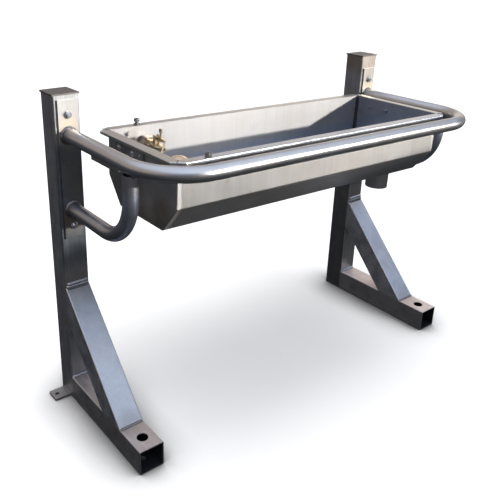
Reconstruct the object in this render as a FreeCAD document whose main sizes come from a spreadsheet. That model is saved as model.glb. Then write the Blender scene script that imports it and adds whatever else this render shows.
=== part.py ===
# Floor-standing stainless trough sink: two square-tube stands, a bent tubular guard rail with two
# hooked stay tubes, and a folded sheet trough with a float valve, a drain socket and a lift-out plug.
# Millimetres, +Z up. The origin is on the floor in the middle of the footprint, +X runs along the
# trough towards the drain, +Y runs back to the posts.
import FreeCAD, Part
import os, math
import Sketcher

os.makedirs("parts", exist_ok=True)
doc = FreeCAD.newDocument("trough_sink")
Vec = FreeCAD.Vector

# ---------------------------------------------------------------- driving dimensions
DIMS = [
    # stand
    ("post_x", 643.4, "post centre from the middle"), ("tube_w", 80.0, "square tube side"),
    ("tube_wall", 4.0, "square tube wall"), ("tube_round", 4.0, "square tube corner radius"),
    ("post_height", 1006.0, "post height"), ("foot_length", 420.0, "foot in front of the post"),
    ("foot_hole_y", 370.0, "anchor hole ahead of the post face"),
    ("foot_hole_r", 17.0, "access hole in the foot's top wall"), ("anchor_r", 9.0, "anchor hole in the foot's bottom wall"),
    ("brace_run", 310.0, "brace toe ahead of the post face"), ("brace_rise", 330.0, "brace head above the foot"),
    ("brace_cut_y", 109.77, "brace cut length on the foot"), ("brace_cut_z", 116.84, "brace cut length on the post"),
    ("brace_wall_y", 5.489, "brace wall measured along the foot"), ("brace_wall_z", 5.842, "brace wall measured up the post"),
    ("cap_w", 84.0, "post cap side"), ("cap_t", 5.0, "post cap thickness"),
    ("tab_out", 54.0, "anchor tab reach"), ("tab_w", 50.0, "anchor tab width"), ("tab_t", 6.0, "anchor tab thickness"),
    ("tab_y", 17.0, "anchor tab front edge behind the post face"), ("tab_hole_r", 7.0, "anchor tab hole"),
    ("tab_hole_out", 37.0, "anchor tab hole from the post side"),
    # plates
    ("plate_w", 60.0, "mounting plate width"), ("plate_t", 6.0, "mounting plate thickness"),
    ("plate_len", 420.0, "mounting plate length"), ("plate_low", 557.8, "mean height of the plates' lower ends"),
    ("rise", 16.34, "left end above, right end below, the mean"), ("bolt_low", 40.0, "lower bolt above the plate's end"),
    ("bolt_high", 377.0, "upper bolt above the plate's end"), ("bolt_hole_r", 6.5, "plate bolt hole"),
    # tubes
    ("pipe_r", 21.2, "guard rail outside radius"), ("pipe_in", 18.0, "guard rail bore radius"),
    ("rail_front", 482.8, "rail front run ahead of the post face"), ("rail_bend", 150.0, "rail bend radius"),
    ("stay_z", 654.0, "mean height of the stay tubes"), ("stay_front", 340.0, "stay leg ahead of the post face"),
    ("stay_bend", 140.0, "stay bend radius"), ("stay_top", 852.65, "mean height of the stay tops"),
    # trough, measured from the rail's centre plane
    ("half_len", 537.0, "half the trough's inside length"), ("wall_front", 395.0, "front wall ahead of the post face"),
    ("wall_rear", 49.0, "rear wall ahead of the post face"), ("rim_top", 14.0, "rim above the rail's centre plane"),
    ("fold_z", 119.0, "wall fold below the rail's centre plane"), ("floor_z", 197.0, "trough floor below it"),
    ("floor_front", 332.0, "floor's front fold"), ("floor_rear", 112.0, "floor's rear fold"),
    ("sheet", 2.0, "sheet thickness"), ("fold_out", 0.71, "outside offset at a wall fold"), ("floor_out", 0.95, "outside offset at a floor fold"),
    ("flange", 29.0, "rim flange width"), ("lip", 9.0, "rim lip depth"), ("mitre_x", 34.0, "rim corner cut along X"), ("mitre_y", 26.0, "rim corner cut along Y"),
    ("bend_in", 6.0, "inside fold radius"), ("bend_out", 8.0, "outside fold radius"),
    # drain
    ("drain_x", 490.0, "drain centre"), ("drain_y", 222.0, "drain ahead of the post face"),
    ("drain_r", 40.0, "socket outside radius"), ("drain_in", 36.0, "socket bore radius"), ("drain_low", 290.0, "socket end below the rail's centre plane"),
    # brackets
    ("bracket_front", 240.0, "bracket front end"), ("bracket_rear", 95.0, "bracket rear end"), ("bracket_t", 4.0, "bracket thickness"),
    ("bracket_z", 52.0, "bracket bottom below the rail's centre plane"), ("brk_bolt_a", 113.0, "first bracket bolt"), ("brk_bolt_b", 185.0, "second bracket bolt"),
    ("brk_bolt_z", 22.0, "bracket bolts below the rail's centre plane"),
    # valve
    ("valve_x", 418.0, "valve from the middle"), ("valve_z", 37.0, "valve axis below the rail's centre plane"),
    ("pivot_y", 114.0, "lever pivot ahead of the post face"), ("pivot_up", 25.0, "lever pivot above the valve axis"),
    ("float_r", 40.0, "float radius"), ("float_x", 478.0, "float centre"), ("float_y", 314.0, "float centre"), ("float_z", 45.0, "float centre"),
    ("stud_front_x", 455.0, "front rim stud"), ("stud_rear_x", 437.0, "rear rim stud"), ("stud_r", 5.0, "rim stud radius"), ("stud_front_h", 13.0, "front rim stud height"), ("stud_rear_h", 19.0, "rear rim stud height"),
]
sheet = doc.addObject("Spreadsheet::Sheet", "Dims")
sheet.set("A1", "dimension"); sheet.set("B1", "mm"); sheet.set("C1", "what it is")


class V(object):
    """A number that keeps the spreadsheet formula it came from."""
    def __init__(self, v, e):
        self.v, self.e = float(v), e

    @staticmethod
    def of(o):
        return o if isinstance(o, V) else V(o, "(%.6f)" % o)

    def __add__(self, o):
        o = V.of(o); return V(self.v + o.v, "(%s + %s)" % (self.e, o.e))

    def __radd__(self, o):
        return V.of(o) + self

    def __sub__(self, o):
        o = V.of(o); return V(self.v - o.v, "(%s - %s)" % (self.e, o.e))

    def __rsub__(self, o):
        return V.of(o) - self

    def __mul__(self, o):
        o = V.of(o); return V(self.v * o.v, "(%s * %s)" % (self.e, o.e))

    __rmul__ = __mul__

    def __truediv__(self, o):
        o = V.of(o); return V(self.v / o.v, "(%s / %s)" % (self.e, o.e))

    def __neg__(self):
        return V(-self.v, "(0 - %s)" % self.e)


class Bag(object):
    pass


D = Bag()
for i, (name, value, words) in enumerate(DIMS):
    row = i + 2
    sheet.set("A%d" % row, name); sheet.set("B%d" % row, str(value)); sheet.set("C%d" % row, words)
    sheet.setAlias("B%d" % row, name)
    setattr(D, name, V(value, "Dims." + name))
doc.recompute()

TILT = 1.455      # degrees: the rail and the trough fall towards the drain
Y0, Z0 = 204.0, 874.2
FLAT = FreeCAD.Placement(Vec(0, Y0, 0), FreeCAD.Rotation())
SLOPE = FreeCAD.Placement(Vec(0, Y0, Z0), FreeCAD.Rotation(Vec(0, 1, 0), TILT))
NODES = []


def keep(obj, label, place):
    obj.Label = label
    obj.Placement = place
    NODES.append((label, obj))
    return obj


def bind(obj, prop, v):
    v = V.of(v)
    setattr(obj, prop, v.v)
    if "Dims." in v.e:
        obj.setExpression(prop, v.e)


def plane(body, role):
    for o in body.Origin.OriginFeatures:
        if o.Role == role:
            return o


def sketch(body, name, role, off=0.0):
    sk = body.newObject("Sketcher::SketchObject", name)
    sk.AttachmentSupport = [(plane(body, role), "")]
    sk.MapMode = "FlatFace"
    off = V.of(off)
    sk.AttachmentOffset = FreeCAD.Placement(Vec(0, 0, off.v), FreeCAD.Rotation())
    if "Dims." in off.e:
        sk.setExpression("AttachmentOffset.Base.z", off.e)
    return sk


def pin(sk, geo, pos, x, y, tag):
    """Fix a sketch point at x, y, each bound to the spreadsheet."""
    for kind, axis, val, t in (("DistanceX", -2, V.of(x), "x"), ("DistanceY", -1, V.of(y), "y")):
        if abs(val.v) < 1e-9:
            sk.addConstraint(Sketcher.Constraint("PointOnObject", geo, pos, axis))
        else:
            n = sk.addConstraint(Sketcher.Constraint(kind, -1, 1, geo, pos, val.v))
            if "Dims." in val.e:
                sk.renameConstraint(n, tag + t)
                sk.setExpression("Constraints." + tag + t, val.e)


def loop(sk, pts, tag):
    pts = [(V.of(a), V.of(b)) for a, b in pts]
    n = len(pts)
    first = sk.GeometryCount
    for i in range(n):
        a, b = pts[i], pts[(i + 1) % n]
        sk.addGeometry(Part.LineSegment(Vec(a[0].v, a[1].v, 0), Vec(b[0].v, b[1].v, 0)), False)
    for i in range(n):
        sk.addConstraint(Sketcher.Constraint("Coincident", first + i, 2, first + (i + 1) % n, 1))
    for i in range(n):
        pin(sk, first + i, 1, pts[i][0], pts[i][1], "%s%d" % (tag, i))


def box2(sk, x0, y0, x1, y1, tag):
    loop(sk, [(x0, y0), (x1, y0), (x1, y1), (x0, y1)], tag)


def ring(sk, x, y, r, tag):
    x, y, r = V.of(x), V.of(y), V.of(r)
    g = sk.addGeometry(Part.Circle(Vec(x.v, y.v, 0), Vec(0, 0, 1), r.v), False)
    n = sk.addConstraint(Sketcher.Constraint("Radius", g, r.v))
    if "Dims." in r.e:
        sk.renameConstraint(n, tag + "r")
        sk.setExpression("Constraints." + tag + "r", r.e)
    pin(sk, g, 3, x, y, tag)


def pad(body, sk, length, mid=False, back=False, name="Pad"):
    p = body.newObject("PartDesign::Pad", name)
    p.Profile = sk
    p.Midplane = mid
    p.Reversed = back
    bind(p, "Length", length)
    sk.Visibility = False
    body.Tip = p
    doc.recompute()
    return p


def pocket(body, sk, length, mid=False, back=False, name="Pocket"):
    before = body.Shape.Volume
    p = body.newObject("PartDesign::Pocket", name)
    p.Profile = sk
    p.Midplane = mid
    p.Reversed = back
    bind(p, "Length", length)
    body.Tip = p
    doc.recompute()
    if not body.Shape.Volume < before - 1e-3:
        p.Reversed = not back
        doc.recompute()
    if not body.Shape.Volume < before - 1e-3:
        raise RuntimeError("pocket removed nothing in " + body.Label)
    return p


def fillet(body, base, radius, pick, name="Fillet"):
    names = ["Edge%d" % (i + 1) for i, e in enumerate(base.Shape.Edges) if pick(e)]
    if not names:
        raise RuntimeError("no edge found for " + name)
    f = body.newObject("PartDesign::Fillet", name)
    f.Base = (base, names)
    bind(f, "Radius", radius)
    body.Tip = f
    doc.recompute()
    return f


def new_body(label):
    b = doc.addObject("PartDesign::Body", label)
    b.Label = label
    return b


def along(e, axis, least=0.0):
    """True for a straight edge along one axis and at least that long."""
    if e.Curve.TypeId != "Part::GeomLine" or e.Length < least:
        return False
    d = e.tangentAt(e.FirstParameter)
    return abs(abs(d[axis]) - 1.0) < 1e-6


def mid_of(e):
    return e.BoundBox.Center


SIDES = (("left", -1.0), ("right", 1.0))

# ---------------------------------------------------------------- the two stands
for side, s in SIDES:
    cx = s * D.post_x
    h = D.tube_w / 2.0
    # post: upright square tube, drilled for the plate bolts
    b = new_body(side + "_post")
    sk = sketch(b, side + "_post_section", "XY_Plane")
    box2(sk, cx - h, 0, cx + h, D.tube_w, "o")
    box2(sk, cx - h + D.tube_wall, D.tube_wall, cx + h - D.tube_wall, D.tube_w - D.tube_wall, "i")
    p = pad(b, sk, D.post_height, name=side + "_post_pad")
    f = fillet(b, p, D.tube_round, lambda e: along(e, 2, 500) and (abs(mid_of(e).y - 0) < 1e-3 or abs(mid_of(e).y - 80) < 1e-3),
               side + "_post_round")
    low = D.plate_low - s * D.rise
    sk = sketch(b, side + "_post_bolts", "XZ_Plane", 5.0)
    ring(sk, cx, low + D.bolt_low, D.bolt_hole_r, "a")
    ring(sk, cx, low + D.bolt_high, D.bolt_hole_r, "b")
    pocket(b, sk, D.tube_w + 20, name=side + "_post_drill")
    keep(b, side + "_post", FLAT)

    # foot: square tube lying on the floor, butted to the post's front face, open at the front
    b = new_body(side + "_foot")
    sk = sketch(b, side + "_foot_section", "XZ_Plane")
    box2(sk, cx - h, 0, cx + h, D.tube_w, "o")
    box2(sk, cx - h + D.tube_wall, D.tube_wall, cx + h - D.tube_wall, D.tube_w - D.tube_wall, "i")
    p = pad(b, sk, D.foot_length, name=side + "_foot_pad")
    if b.Shape.BoundBox.YMax > 1.0:
        p.Reversed = True
        doc.recompute()
    f = fillet(b, p, D.tube_round, lambda e: along(e, 1, 300) and (abs(mid_of(e).z) < 1e-3 or abs(mid_of(e).z - 80) < 1e-3),
               side + "_foot_round")
    sk = sketch(b, side + "_foot_access", "XY_Plane", D.tube_w + 1)
    ring(sk, cx, -D.foot_hole_y, D.foot_hole_r, "t")
    pocket(b, sk, D.tube_wall + 3, name=side + "_foot_access_cut")
    sk = sketch(b, side + "_foot_anchor", "XY_Plane", D.tube_wall + 1)
    ring(sk, cx, -D.foot_hole_y, D.anchor_r, "t")
    pocket(b, sk, D.tube_wall + 3, name=side + "_foot_anchor_cut")
    keep(b, side + "_foot", FLAT)

    # brace: square tube set diagonally, cut flat on the post and on the foot
    b = new_body(side + "_brace")
    sk = sketch(b, side + "_brace_outline", "YZ_Plane", cx)
    top = D.tube_w + D.brace_rise
    loop(sk, [(0, top), (-D.brace_run, D.tube_w), (D.brace_cut_y - D.brace_run, D.tube_w), (0, top - D.brace_cut_z)], "o")
    p = pad(b, sk, D.tube_w, mid=True, name=side + "_brace_pad")
    f = fillet(b, p, D.tube_round, lambda e: e.Length > 250 and abs(e.tangentAt(e.FirstParameter)[0]) < 1e-6
               and abs(e.tangentAt(e.FirstParameter)[1]) > 0.1 and abs(e.tangentAt(e.FirstParameter)[2]) > 0.1,
               side + "_brace_round")
    sk = sketch(b, side + "_brace_bore", "YZ_Plane", cx)
    k = 20.0
    slope = D.brace_rise / D.brace_run
    top_in = top - D.brace_wall_z
    low_in = top - D.brace_cut_z + D.brace_wall_z
    # the bore runs k mm past both cut ends
    loop(sk, [(k, top_in + slope * k), (-D.brace_run - k, D.tube_w - D.brace_wall_z - slope * k),
              (D.brace_cut_y - D.brace_run - k, D.tube_w + D.brace_wall_z - slope * k), (k, low_in + slope * k)], "i")
    pocket(b, sk, D.tube_w - 2 * D.tube_wall, mid=True, name=side + "_brace_bore_cut")
    keep(b, side + "_brace", FLAT)

    # post cap
    c = doc.addObject("Part::Box", side + "_cap_block")
    bind(c, "Length", D.cap_w); bind(c, "Width", D.cap_w); bind(c, "Height", D.cap_t)
    c.Placement.Base = Vec(s * 643.4 - 42.0, 40.0 - 42.0, 1006.0)
    c.setExpression("Placement.Base.x", (cx - D.cap_w / 2.0).e)
    c.setExpression("Placement.Base.y", (D.tube_w / 2.0 - D.cap_w / 2.0).e)
    c.setExpression("Placement.Base.z", D.post_height.e)
    doc.recompute()
    ch = doc.addObject("Part::Chamfer", side + "_cap_chamfer")
    ch.Base = c
    ch.Edges = [(i + 1, 0.8, 0.8) for i, e in enumerate(c.Shape.Edges) if mid_of(e).z > 1010.9]
    keep(ch, side + "_post_cap", FLAT)

    # anchor tab at the floor, outboard of the post
    b = new_body(side + "_anchor_tab")
    sk = sketch(b, side + "_tab_outline", "XY_Plane")
    xin = s * (D.post_x + D.tube_w / 2.0)
    xout = s * (D.post_x + D.tube_w / 2.0 + D.tab_out)
    box2(sk, xin, D.tab_y, xout, D.tab_y + D.tab_w, "o")
    ring(sk, s * (D.post_x + D.tube_w / 2.0 + D.tab_hole_out), D.tab_y + D.tab_w / 2.0, D.tab_hole_r, "h")
    p = pad(b, sk, D.tab_t, name=side + "_tab_pad")
    xo = s * (643.4 + 40 + 54)
    fillet(b, p, 3.0, lambda e: along(e, 2) and abs(mid_of(e).x - xo) < 1e-3, side + "_tab_round")
    keep(b, side + "_anchor_tab", FLAT)

    # mounting plate on the post's front face
    b = new_body(side + "_mounting_plate")
    sk = sketch(b, side + "_plate_outline", "XZ_Plane")
    box2(sk, cx - D.plate_w / 2.0, low, cx + D.plate_w / 2.0, low + D.plate_len, "o")
    ring(sk, cx, low + D.bolt_low, D.bolt_hole_r, "a")
    ring(sk, cx, low + D.bolt_high, D.bolt_hole_r, "b")
    p = pad(b, sk, D.plate_t, name=side + "_plate_pad")
    if b.Shape.BoundBox.YMax > 1.0:
        p.Reversed = True
        doc.recompute()
    fillet(b, p, 1.0, lambda e: abs(mid_of(e).y + 6.0) < 1e-3 and e.Curve.TypeId == "Part::GeomLine", side + "_plate_edge")
    keep(b, side + "_mounting_plate", FLAT)

    # hooked stay tube: out of the plate, then up to the rail's underside
    b = new_body(side + "_stay_tube")
    zj = D.stay_z - s * D.rise * 0.73
    zt = D.stay_top - s * D.rise
    sk = sketch(b, side + "_stay_section", "XZ_Plane", D.plate_t)
    ring(sk, cx, zj, D.pipe_r, "o")
    ring(sk, cx, zj, D.pipe_in, "i")
    sp = sketch(b, side + "_stay_line", "YZ_Plane", cx)
    yf = -D.stay_front
    pts = [(-D.plate_t, zj), (yf + D.stay_bend, zj), (yf, zj + D.stay_bend), (yf, zt)]
    g0 = sp.addGeometry(Part.LineSegment(Vec(pts[0][0].v, pts[0][1].v, 0), Vec(pts[1][0].v, pts[1][1].v, 0)), False)
    cen = Vec((yf + D.stay_bend).v, (zj + D.stay_bend).v, 0)
    g1 = sp.addGeometry(Part.ArcOfCircle(Part.Circle(cen, Vec(0, 0, 1), D.stay_bend.v), math.pi, 1.5 * math.pi), False)
    g2 = sp.addGeometry(Part.LineSegment(Vec(pts[2][0].v, pts[2][1].v, 0), Vec(pts[3][0].v, pts[3][1].v, 0)), False)
    sp.addConstraint(Sketcher.Constraint("Coincident", g0, 2, g1, 2))
    sp.addConstraint(Sketcher.Constraint("Coincident", g1, 1, g2, 1))
    pin(sp, g0, 1, pts[0][0], pts[0][1], "a")
    pin(sp, g0, 2, pts[1][0], pts[1][1], "b")
    pin(sp, g2, 1, pts[2][0], pts[2][1], "c")
    pin(sp, g2, 2, pts[3][0], pts[3][1], "d")
    n = sp.addConstraint(Sketcher.Constraint("Radius", g1, D.stay_bend.v))
    sp.renameConstraint(n, "bend"); sp.setExpression("Constraints.bend", D.stay_bend.e)
    doc.recompute()
    pp = b.newObject("PartDesign::AdditivePipe", side + "_stay_pipe")
    pp.Profile = sk
    pp.Spine = (sp, ["Edge1", "Edge2", "Edge3"])
    b.Tip = pp
    doc.recompute()
    keep(b, side + "_stay_tube", FLAT)


# ---------------------------------------------------------------- plate fasteners
def hexagon(name, across, height, at, axis):
    """A hexagonal prism whose axis starts at a point and runs along a direction."""
    h = doc.addObject("Part::Prism", name)
    h.Polygon = 6
    h.Circumradius = across / math.sqrt(3.0)
    h.Height = height
    h.Placement = FreeCAD.Placement(Vec(*at), FreeCAD.Rotation(Vec(0, 0, 1), Vec(*axis)))
    return h


def rod(name, r, length, at, axis):
    c = doc.addObject("Part::Cylinder", name)
    c.Radius = r
    c.Height = length
    c.Placement = FreeCAD.Placement(Vec(*at), FreeCAD.Rotation(Vec(0, 0, 1), Vec(*axis)))
    return c


def fuse(name, items):
    f = doc.addObject("Part::MultiFuse", name)
    f.Shapes = items
    return f


def cut(name, base, tool):
    c = doc.addObject("Part::Cut", name)
    c.Base = base
    c.Tool = tool
    return c


def common(name, a, b):
    c = doc.addObject("Part::MultiCommon", name)
    c.Shapes = [a, b]
    return c


def group(name, items):
    c = doc.addObject("Part::Compound", name)
    c.Links = items
    return c


def set_base(obj, x=None, y=None, z=None):
    for k, v in (("x", x), ("y", y), ("z", z)):
        if v is not None and "Dims." in V.of(v).e:
            obj.setExpression("Placement.Base." + k, V.of(v).e)


bolts, washers, nuts = [], [], []
for side, s in SIDES:
    cx = s * D.post_x
    low = D.plate_low - s * D.rise
    for tag, up in (("lo", D.bolt_low), ("hi", D.bolt_high)):
        z = low + up
        n = side + "_" + tag
        # head in front of the plate, shank through plate and post, nut behind
        hd = hexagon(n + "_head", 18.0, 7.5, (cx.v, -8.5, z.v), (0, -1, 0)); set_base(hd, cx, None, z)
        dome = doc.addObject("Part::Sphere", n + "_dome"); dome.Radius = 11.0
        dome.Placement.Base = Vec(cx.v, -6.6, z.v); set_base(dome, cx, None, z)
        crowned = common(n + "_crowned", hd, dome)
        sh = rod(n + "_shank", 6.0, 104.5, (cx.v, -8.5, z.v), (0, 1, 0)); set_base(sh, cx, None, z)
        bolts.append(fuse(n + "_bolt", [crowned, sh]))
        for w, y0 in (("f", -8.5), ("r", 80.0)):
            disc = rod(n + "_wd" + w, 12.0, 2.5, (cx.v, y0, z.v), (0, 1, 0)); set_base(disc, cx, None, z)
            hole = rod(n + "_wh" + w, 6.3, 4.5, (cx.v, y0 - 1, z.v), (0, 1, 0)); set_base(hole, cx, None, z)
            washers.append(cut(n + "_washer" + w, disc, hole))
        hn = hexagon(n + "_nuthex", 18.0, 10.0, (cx.v, 82.5, z.v), (0, 1, 0)); set_base(hn, cx, None, z)
        hh = rod(n + "_nuthole", 6.1, 12.0, (cx.v, 81.5, z.v), (0, 1, 0)); set_base(hh, cx, None, z)
        nuts.append(cut(n + "_nut", hn, hh))
keep(group("plate_bolts", bolts), "plate_bolts", FLAT)
keep(group("plate_washers", washers), "plate_washers", FLAT)
keep(group("plate_nuts", nuts), "plate_nuts", FLAT)

# ---------------------------------------------------------------- guard rail
b = new_body("guard_rail")
sk = sketch(b, "rail_section", "XZ_Plane", D.plate_t)
ring(sk, -D.post_x, 0, D.pipe_r, "o")
ring(sk, -D.post_x, 0, D.pipe_in, "i")
sp = sketch(b, "rail_line", "XY_Plane")
X, F, Rb = D.post_x, D.rail_front, D.rail_bend
pts = [(-X, -D.plate_t), (-X, Rb - F), (Rb - X, -F), (X - Rb, -F), (X, Rb - F), (X, -D.plate_t)]
pts = [(V.of(a), V.of(c)) for a, c in pts]


def seg(sp, a, c):
    return sp.addGeometry(Part.LineSegment(Vec(a[0].v, a[1].v, 0), Vec(c[0].v, c[1].v, 0)), False)


g0 = seg(sp, pts[0], pts[1])
g1 = sp.addGeometry(Part.ArcOfCircle(Part.Circle(Vec((Rb - X).v, (Rb - F).v, 0), Vec(0, 0, 1), Rb.v), math.pi, 1.5 * math.pi), False)
g2 = seg(sp, pts[2], pts[3])
g3 = sp.addGeometry(Part.ArcOfCircle(Part.Circle(Vec((X - Rb).v, (Rb - F).v, 0), Vec(0, 0, 1), Rb.v), 1.5 * math.pi, 2 * math.pi), False)
g4 = seg(sp, pts[4], pts[5])
sp.addConstraint(Sketcher.Constraint("Coincident", g0, 2, g1, 1))
sp.addConstraint(Sketcher.Constraint("Coincident", g1, 2, g2, 1))
sp.addConstraint(Sketcher.Constraint("Coincident", g2, 2, g3, 1))
sp.addConstraint(Sketcher.Constraint("Coincident", g3, 2, g4, 1))
for g, pos, q, tag in ((g0, 1, 0, "a"), (g0, 2, 1, "b"), (g2, 1, 2, "c"), (g2, 2, 3, "d"), (g4, 1, 4, "e"), (g4, 2, 5, "f")):
    pin(sp, g, pos, pts[q][0], pts[q][1], tag)
for g, tag in ((g1, "bendl"), (g3, "bendr")):
    n = sp.addConstraint(Sketcher.Constraint("Radius", g, Rb.v))
    sp.renameConstraint(n, tag); sp.setExpression("Constraints." + tag, Rb.e)
doc.recompute()
pp = b.newObject("PartDesign::AdditivePipe", "rail_pipe")
pp.Profile = sk
pp.Spine = (sp, ["Edge1", "Edge2", "Edge3", "Edge4", "Edge5"])
b.Tip = pp
doc.recompute()
keep(b, "guard_rail", SLOPE)

# ---------------------------------------------------------------- trough
T = D.sheet
zr = D.rim_top - T                      # underside of the rim flange
OUT = [(T - D.wall_rear, zr), (T - D.wall_rear, -D.fold_z - D.fold_out), (D.floor_out - D.floor_rear, -D.floor_z - T),
       (-D.floor_front - D.floor_out, -D.floor_z - T), (-D.wall_front - T, -D.fold_z - D.fold_out), (-D.wall_front - T, zr)]
INN = [(-D.wall_front, zr), (-D.wall_front, -D.fold_z), (-D.floor_front, -D.floor_z), (-D.floor_rear, -D.floor_z),
       (-D.wall_rear, -D.fold_z), (-D.wall_rear, zr)]


def is_fold(e, pts):
    m = mid_of(e)
    return along(e, 0) and any(abs(m.y - a.v) < 0.02 and abs(m.z - c.v) < 0.02 for a, c in pts)


b = new_body("trough_shell")
sk = sketch(b, "shell_profile", "YZ_Plane")
loop(sk, OUT + INN, "s")
p = pad(b, sk, 2 * D.half_len, mid=True, name="shell_pad")
f = fillet(b, p, D.bend_in, lambda e: is_fold(e, INN[1:5]), "shell_folds_in")
f = fillet(b, f, D.bend_out, lambda e: is_fold(e, OUT[1:5]), "shell_folds_out")
sk = sketch(b, "shell_drain", "XY_Plane", -D.floor_z + 5)
ring(sk, D.drain_x, -D.drain_y, D.drain_in, "d")
pocket(b, sk, 15.0, name="shell_drain_cut")
sk = sketch(b, "shell_inlet", "XZ_Plane", D.wall_rear + 5)
ring(sk, -D.valve_x, -D.valve_z, 10.4, "v")
pocket(b, sk, 15.0, back=True, name="shell_inlet_cut")
keep(b, "trough_shell", SLOPE)

for side, s in SIDES:
    b = new_body(side + "_end_wall")
    sk = sketch(b, side + "_end_outline", "YZ_Plane", s * (D.half_len + T / 2.0))
    loop(sk, OUT, "e")
    for tag, y, z, r in (("ba", -D.brk_bolt_a, -D.brk_bolt_z, 4.4), ("bb", -D.brk_bolt_b, -D.brk_bolt_z, 4.4), ("bc", -224.0, -18.0, 2.7)):
        ring(sk, y, z, r, tag)
    p = pad(b, sk, T, mid=True, name=side + "_end_pad")
    fillet(b, p, D.bend_out, lambda e: along(e, 0) and is_fold(e, OUT[1:5]), side + "_end_round")
    keep(b, side + "_end_wall", SLOPE)

# rim: flat flange all round with a turned-down lip and cut corners
xo, yf, yr = D.half_len + D.flange, -D.wall_front - D.flange, D.flange - D.wall_rear


def octagon(x, ya, yb, mx, my):
    return [(-x, ya + my), (mx - x, ya), (x - mx, ya), (x, ya + my), (x, yb - my), (x - mx, yb), (mx - x, yb), (-x, yb - my)]


b = new_body("trough_rim")
sk = sketch(b, "rim_flange", "XY_Plane", D.rim_top - T)
loop(sk, octagon(xo, yf, yr, D.mitre_x, D.mitre_y), "o")
box2(sk, -D.half_len, -D.wall_front, D.half_len, -D.wall_rear, "i")
for tag, x, y in (("sf", -D.stud_front_x, -D.wall_front - D.flange / 2.0), ("sr", -D.stud_rear_x, D.flange / 2.0 - D.wall_rear)):
    ring(sk, x, y, D.stud_r + 0.3, tag)
p = pad(b, sk, T, name="rim_flange_pad")
sk = sketch(b, "rim_lip", "XY_Plane", D.rim_top - D.lip)
loop(sk, octagon(xo, yf, yr, D.mitre_x, D.mitre_y), "o")
loop(sk, octagon(xo - T, yf + T, yr - T, D.mitre_x - 1.3, D.mitre_y - 1.0), "i")
p = pad(b, sk, D.lip - T, name="rim_lip_pad")
top = D.rim_top.v


def rim_edge(e):
    m = mid_of(e)
    if abs(m.z - top) > 1e-3 or e.Curve.TypeId != "Part::GeomLine":
        return False
    return abs(m.x) > 540 or m.y < -400 or m.y > -45


f = fillet(b, p, 3.0, rim_edge, "rim_bend")
keep(b, "trough_rim", SLOPE)

# drain socket under the floor
b = new_body("drain_socket")
sk = sketch(b, "socket_section", "XY_Plane", -D.drain_low)
ring(sk, D.drain_x, -D.drain_y, D.drain_r, "o")
ring(sk, D.drain_x, -D.drain_y, D.drain_in, "i")
p = pad(b, sk, D.drain_low - D.floor_z - T, name="socket_pad")
fillet(b, p, 1.0, lambda e: e.Curve.TypeId == "Part::GeomCircle" and mid_of(e).z < -289, "socket_edge")
keep(b, "drain_socket", SLOPE)

# ---------------------------------------------------------------- trough brackets
for side, s in SIDES:
    b = new_body(side + "_trough_bracket")
    sk = sketch(b, side + "_bracket_profile", "XZ_Plane", D.bracket_rear)
    a = D.half_len + T                            # face on the end wall
    c = D.post_x - D.pipe_r - 0.2                 # face on the rail's flank
    t = D.bracket_t
    zb = -D.bracket_z
    prof = [(a, zb), (c, zb), (c, 3), (c - t, 3), (c - t, zb + t), (a + t, zb + t), (a + t, -8), (a, -8)]
    loop(sk, [(s * V.of(x), z) for x, z in prof], "u")
    p = pad(b, sk, D.bracket_front - D.bracket_rear, name=side + "_bracket_pad")
    if b.Shape.BoundBox.YMax > -D.bracket_rear.v + 1.0:
        p.Reversed = True
        doc.recompute()
    f = fillet(b, p, 5.0, lambda e: along(e, 1, 100) and abs(mid_of(e).z - zb.v) < 1e-3, side + "_bracket_bend")
    sk = sketch(b, side + "_bracket_holes", "YZ_Plane", s * (a - 5))
    ring(sk, -D.brk_bolt_a, -D.brk_bolt_z, 4.4, "a")
    ring(sk, -D.brk_bolt_b, -D.brk_bolt_z, 4.4, "b")
    ring(sk, -224.0, -18.0, 2.7, "c")
    pocket(b, sk, 20.0, back=(s > 0), name=side + "_bracket_drill")
    keep(b, side + "_trough_bracket", SLOPE)

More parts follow.
